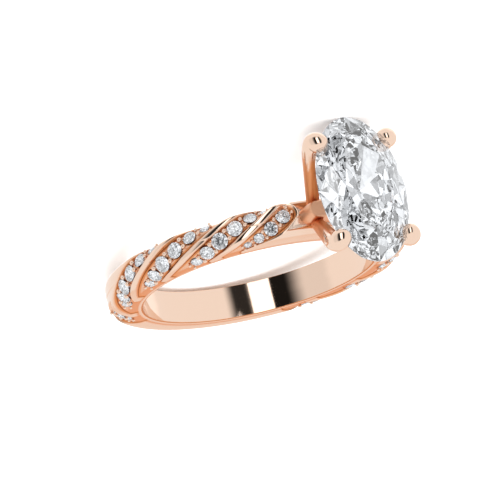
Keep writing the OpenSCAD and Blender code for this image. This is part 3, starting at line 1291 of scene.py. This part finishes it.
@dataclass(frozen=True)
class ClearStone:
    """A clean cut stone."""

    name: str
    colour: tuple[float, float, float] = (0.965, 0.98, 1.0)
    ior: float = 2.42

    def material(self) -> Material:
        """Mixes the finish.

        Returns:
            The material.
        """
        mat, web = new_material(self.name)
        colour = (*self.colour, 1.0)
        finish = {"Metallic": 0.0, "Roughness": 0.0, "IOR": self.ior, "Transmission Weight": 1.0}
        web.surface({"Base Color": colour, **finish})
        return mat


@dataclass(frozen=True)
class Card:
    """A card of the studio: its direction in the ring's frame in degrees, its half sizes and its shade."""

    heading: float
    rise: float
    half_wide: float
    half_high: float
    shade: float
    soft: float = 0.03
    tint: tuple[float, float, float] = (1.0, 1.0, 1.0)


@dataclass
class Studio:
    """The white tent with its cards, the pale floor and the camera."""

    pose: RestPose
    tent: float = 1.0
    floor_light: float = 2.2
    floor_shade: float = 0.93
    floor_roughness: float = 0.9
    floor_half: float = 3.0
    cards: tuple[Card, ...] = (
        Card(65, -15, 0.60, 0.60, 0.86, 0.30),
        Card(212, 14, 0.45, 0.30, 0.95, 0.25, (1.0, 0.84, 0.74)),
        Card(235, -42, 0.50, 0.35, 1.30, 0.30),
        Card(11, -15, 0.09, 0.72, 0.03, 0.20),
        Card(50, -15, 0.10, 0.72, 0.012, 0.40),
        Card(31, -15, 0.17, 0.66, 2.0, 0.02),
    )
    patch_scale: float = 2.6
    patch_shades: tuple[float, float] = (0.14, 1.40)
    patch_tint: tuple[float, float, float] = (0.965, 0.98, 1.0)
    viewer_shade: float = 0.04
    viewer_cone: tuple[float, float] = (15.0, 21.0)
    azimuth: float = 34.07
    elevation: float = 22.506
    roll: float = 160.92
    distance: float = 0.5
    lens: float = 505.6
    sensor: float = 36.0
    clip: tuple[float, float] = (0.01, 20.0)
    bounces: int = 24
    glossy_bounces: int = 12
    aim: Vector = field(default_factory=lambda: Vector((0.2155, 0.2465, -1.1774)))

    def world(self) -> None:
        """Makes the world a white tent with cards."""
        world = bpy.data.worlds.new("tent")
        world.use_nodes = True
        bpy.context.scene.world = world
        web = Web(world.node_tree)
        direction = web.add("ShaderNodeTexCoord").outputs["Generated"]
        shade: object = grey_of(self.tent)
        turn = self.pose.matrix().to_3x3().normalized()
        for card in self.cards:
            heading = math.radians(card.heading)
            out = turn @ toward(heading, math.radians(card.rise))
            right = turn @ toward(heading + math.pi / 2, 0)
            up = out.cross(right)
            ahead = web.dot(direction, out)
            wide = web.math("ABSOLUTE", web.math("DIVIDE", web.dot(direction, right), ahead))
            high = web.math("ABSOLUTE", web.math("DIVIDE", web.dot(direction, up), ahead))
            inside = web.math(
                "MULTIPLY",
                web.smooth(wide, card.half_wide + card.soft, card.half_wide),
                web.smooth(high, card.half_high + card.soft, card.half_high),
            )
            inside = web.math("MULTIPLY", inside, web.math("GREATER_THAN", ahead, 0.0))
            shade = web.mix(inside, shade, tuple(card.shade * c for c in card.tint) + (1.0,))
        patches = web.add("ShaderNodeTexVoronoi", {"Vector": direction, "Scale": self.patch_scale})
        grey = web.add("ShaderNodeSeparateColor", {0: patches.outputs["Color"]}).outputs[0]
        grey = web.spread(grey, self.patch_shades)
        grey = web.math("MULTIPLY", grey, self.viewer_dimming(web, direction))
        cool = web.add("ShaderNodeVectorMath", {0: grey, 1: self.patch_tint}, operation="MULTIPLY").outputs[0]
        path = web.add("ShaderNodeLightPath")
        seen: object = grey_of(self.floor_light)
        for kind, look in (("Is Glossy Ray", shade), ("Is Transmission Ray", cool)):
            seen = web.mix(path.outputs[kind], seen, look)
        light = web.add("ShaderNodeBackground", {"Color": seen, "Strength": 1.0})
        web.add("ShaderNodeOutputWorld", {"Surface": light.outputs[0]})

    def viewer_dimming(self, web: Web, direction: NodeSocket) -> NodeSocket:
        """Returns how much light comes from each direction past the dark figure at the front of the tent.

        Args:
            web: The world's nodes.
            direction: The direction looked in.

        Returns:
            The share of the light, from viewer_shade to 1.
        """
        out = toward(math.radians(self.azimuth), math.radians(self.elevation))
        inner, outer = (math.cos(math.radians(angle)) for angle in self.viewer_cone)
        inside = web.smooth(web.dot(direction, out), outer, inner)
        return web.math("MULTIPLY_ADD", inside, self.viewer_shade - 1, 1.0)

    def floor(self) -> Object:
        """Lays the pale floor, which the metal and the stones don't mirror.

        Returns:
            The floor.
        """
        bm = bmesh.new()
        bmesh.ops.create_grid(bm, x_segments=1, y_segments=1, size=self.floor_half)
        floor = linked("floor", as_mesh("floor", bm))
        mat, web = new_material("pale_floor")
        web.surface({"Base Color": grey_of(self.floor_shade), "Roughness": self.floor_roughness})
        floor.data.materials.append(mat)
        floor.visible_glossy = False
        floor.visible_transmission = False
        return floor

    def camera(self) -> Object:
        """Sets up the camera at the photograph's viewing angle.

        Returns:
            The camera.
        """
        lens = bpy.data.cameras.new("camera")
        lens.lens = self.lens
        lens.sensor_width = self.sensor
        lens.clip_start, lens.clip_end = self.clip
        camera = linked("camera", lens)
        turn = (
            Matrix.Rotation(math.radians(self.azimuth + 90), 4, "Z")
            @ Matrix.Rotation(math.radians(90 - self.elevation), 4, "X")
            @ Matrix.Rotation(math.radians(self.roll), 4, "Z")
        )
        aim = self.pose.matrix() @ self.aim
        back = turn.to_3x3() @ Vector((0, 0, 1))
        camera.matrix_world = Matrix.Translation(aim + back * self.distance) @ turn
        bpy.context.scene.camera = camera
        return camera

    def build(self) -> None:
        """Builds the studio."""
        self.world()
        self.floor()
        self.camera()
        scene = bpy.context.scene
        scene.view_settings.view_transform = "Standard"
        scene.cycles.max_bounces = self.bounces
        scene.cycles.transmission_bounces = self.bounces
        scene.cycles.glossy_bounces = self.glossy_bounces


def dress(piece: Object, material: Material, slot: str, *nodes: str) -> None:
    """Gives a piece its finish and its place on the body.

    Args:
        piece: The piece.
        material: The finish.
        slot: The record's material slot. Not used.
        *nodes: The solids that it replaces.
    """
    piece.data.materials.append(material)
    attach(piece, BODY)
    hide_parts(*nodes)
    piece.data.calc_loop_triangles()
    LOG.info("%s: %d triangles", piece.name, len(piece.data.loop_triangles))


def main() -> None:
    logging.basicConfig(level=logging.INFO, format="%(message)s")
    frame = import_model()
    pose = RestPose.from_mount(frame["record"])
    form = BandForm()
    band = Band(form, pose)
    oval = OvalStone(pose)
    head = Head(pose, oval)
    # The second and third colours are painted shade for the recesses and the deepest creases.
    gold = PolishedGold("rose_gold", (0.90, 0.67, 0.53), (0.72, 0.28, 0.10), (0.28, 0.07, 0.02)).material()
    clear = ClearStone("clear_stone").material()
    for piece in (band.build(), Beads(band).build(), head.claws(), head.collar()):
        dress(piece, gold, "rose_gold", "mounting")
        piece.visible_transmission = False
    dress(oval.build(), clear, "oval_diamond", "centre_stone")
    for side, node in ((Shoulder.LEFT, "pave_left"), (Shoulder.RIGHT, "pave_right")):
        dress(SmallStones(band, side).build(), clear, "small_diamonds", node)
    Studio(pose).build()
    bpy.context.view_layer.update()


if __name__ == "__main__":
    main()
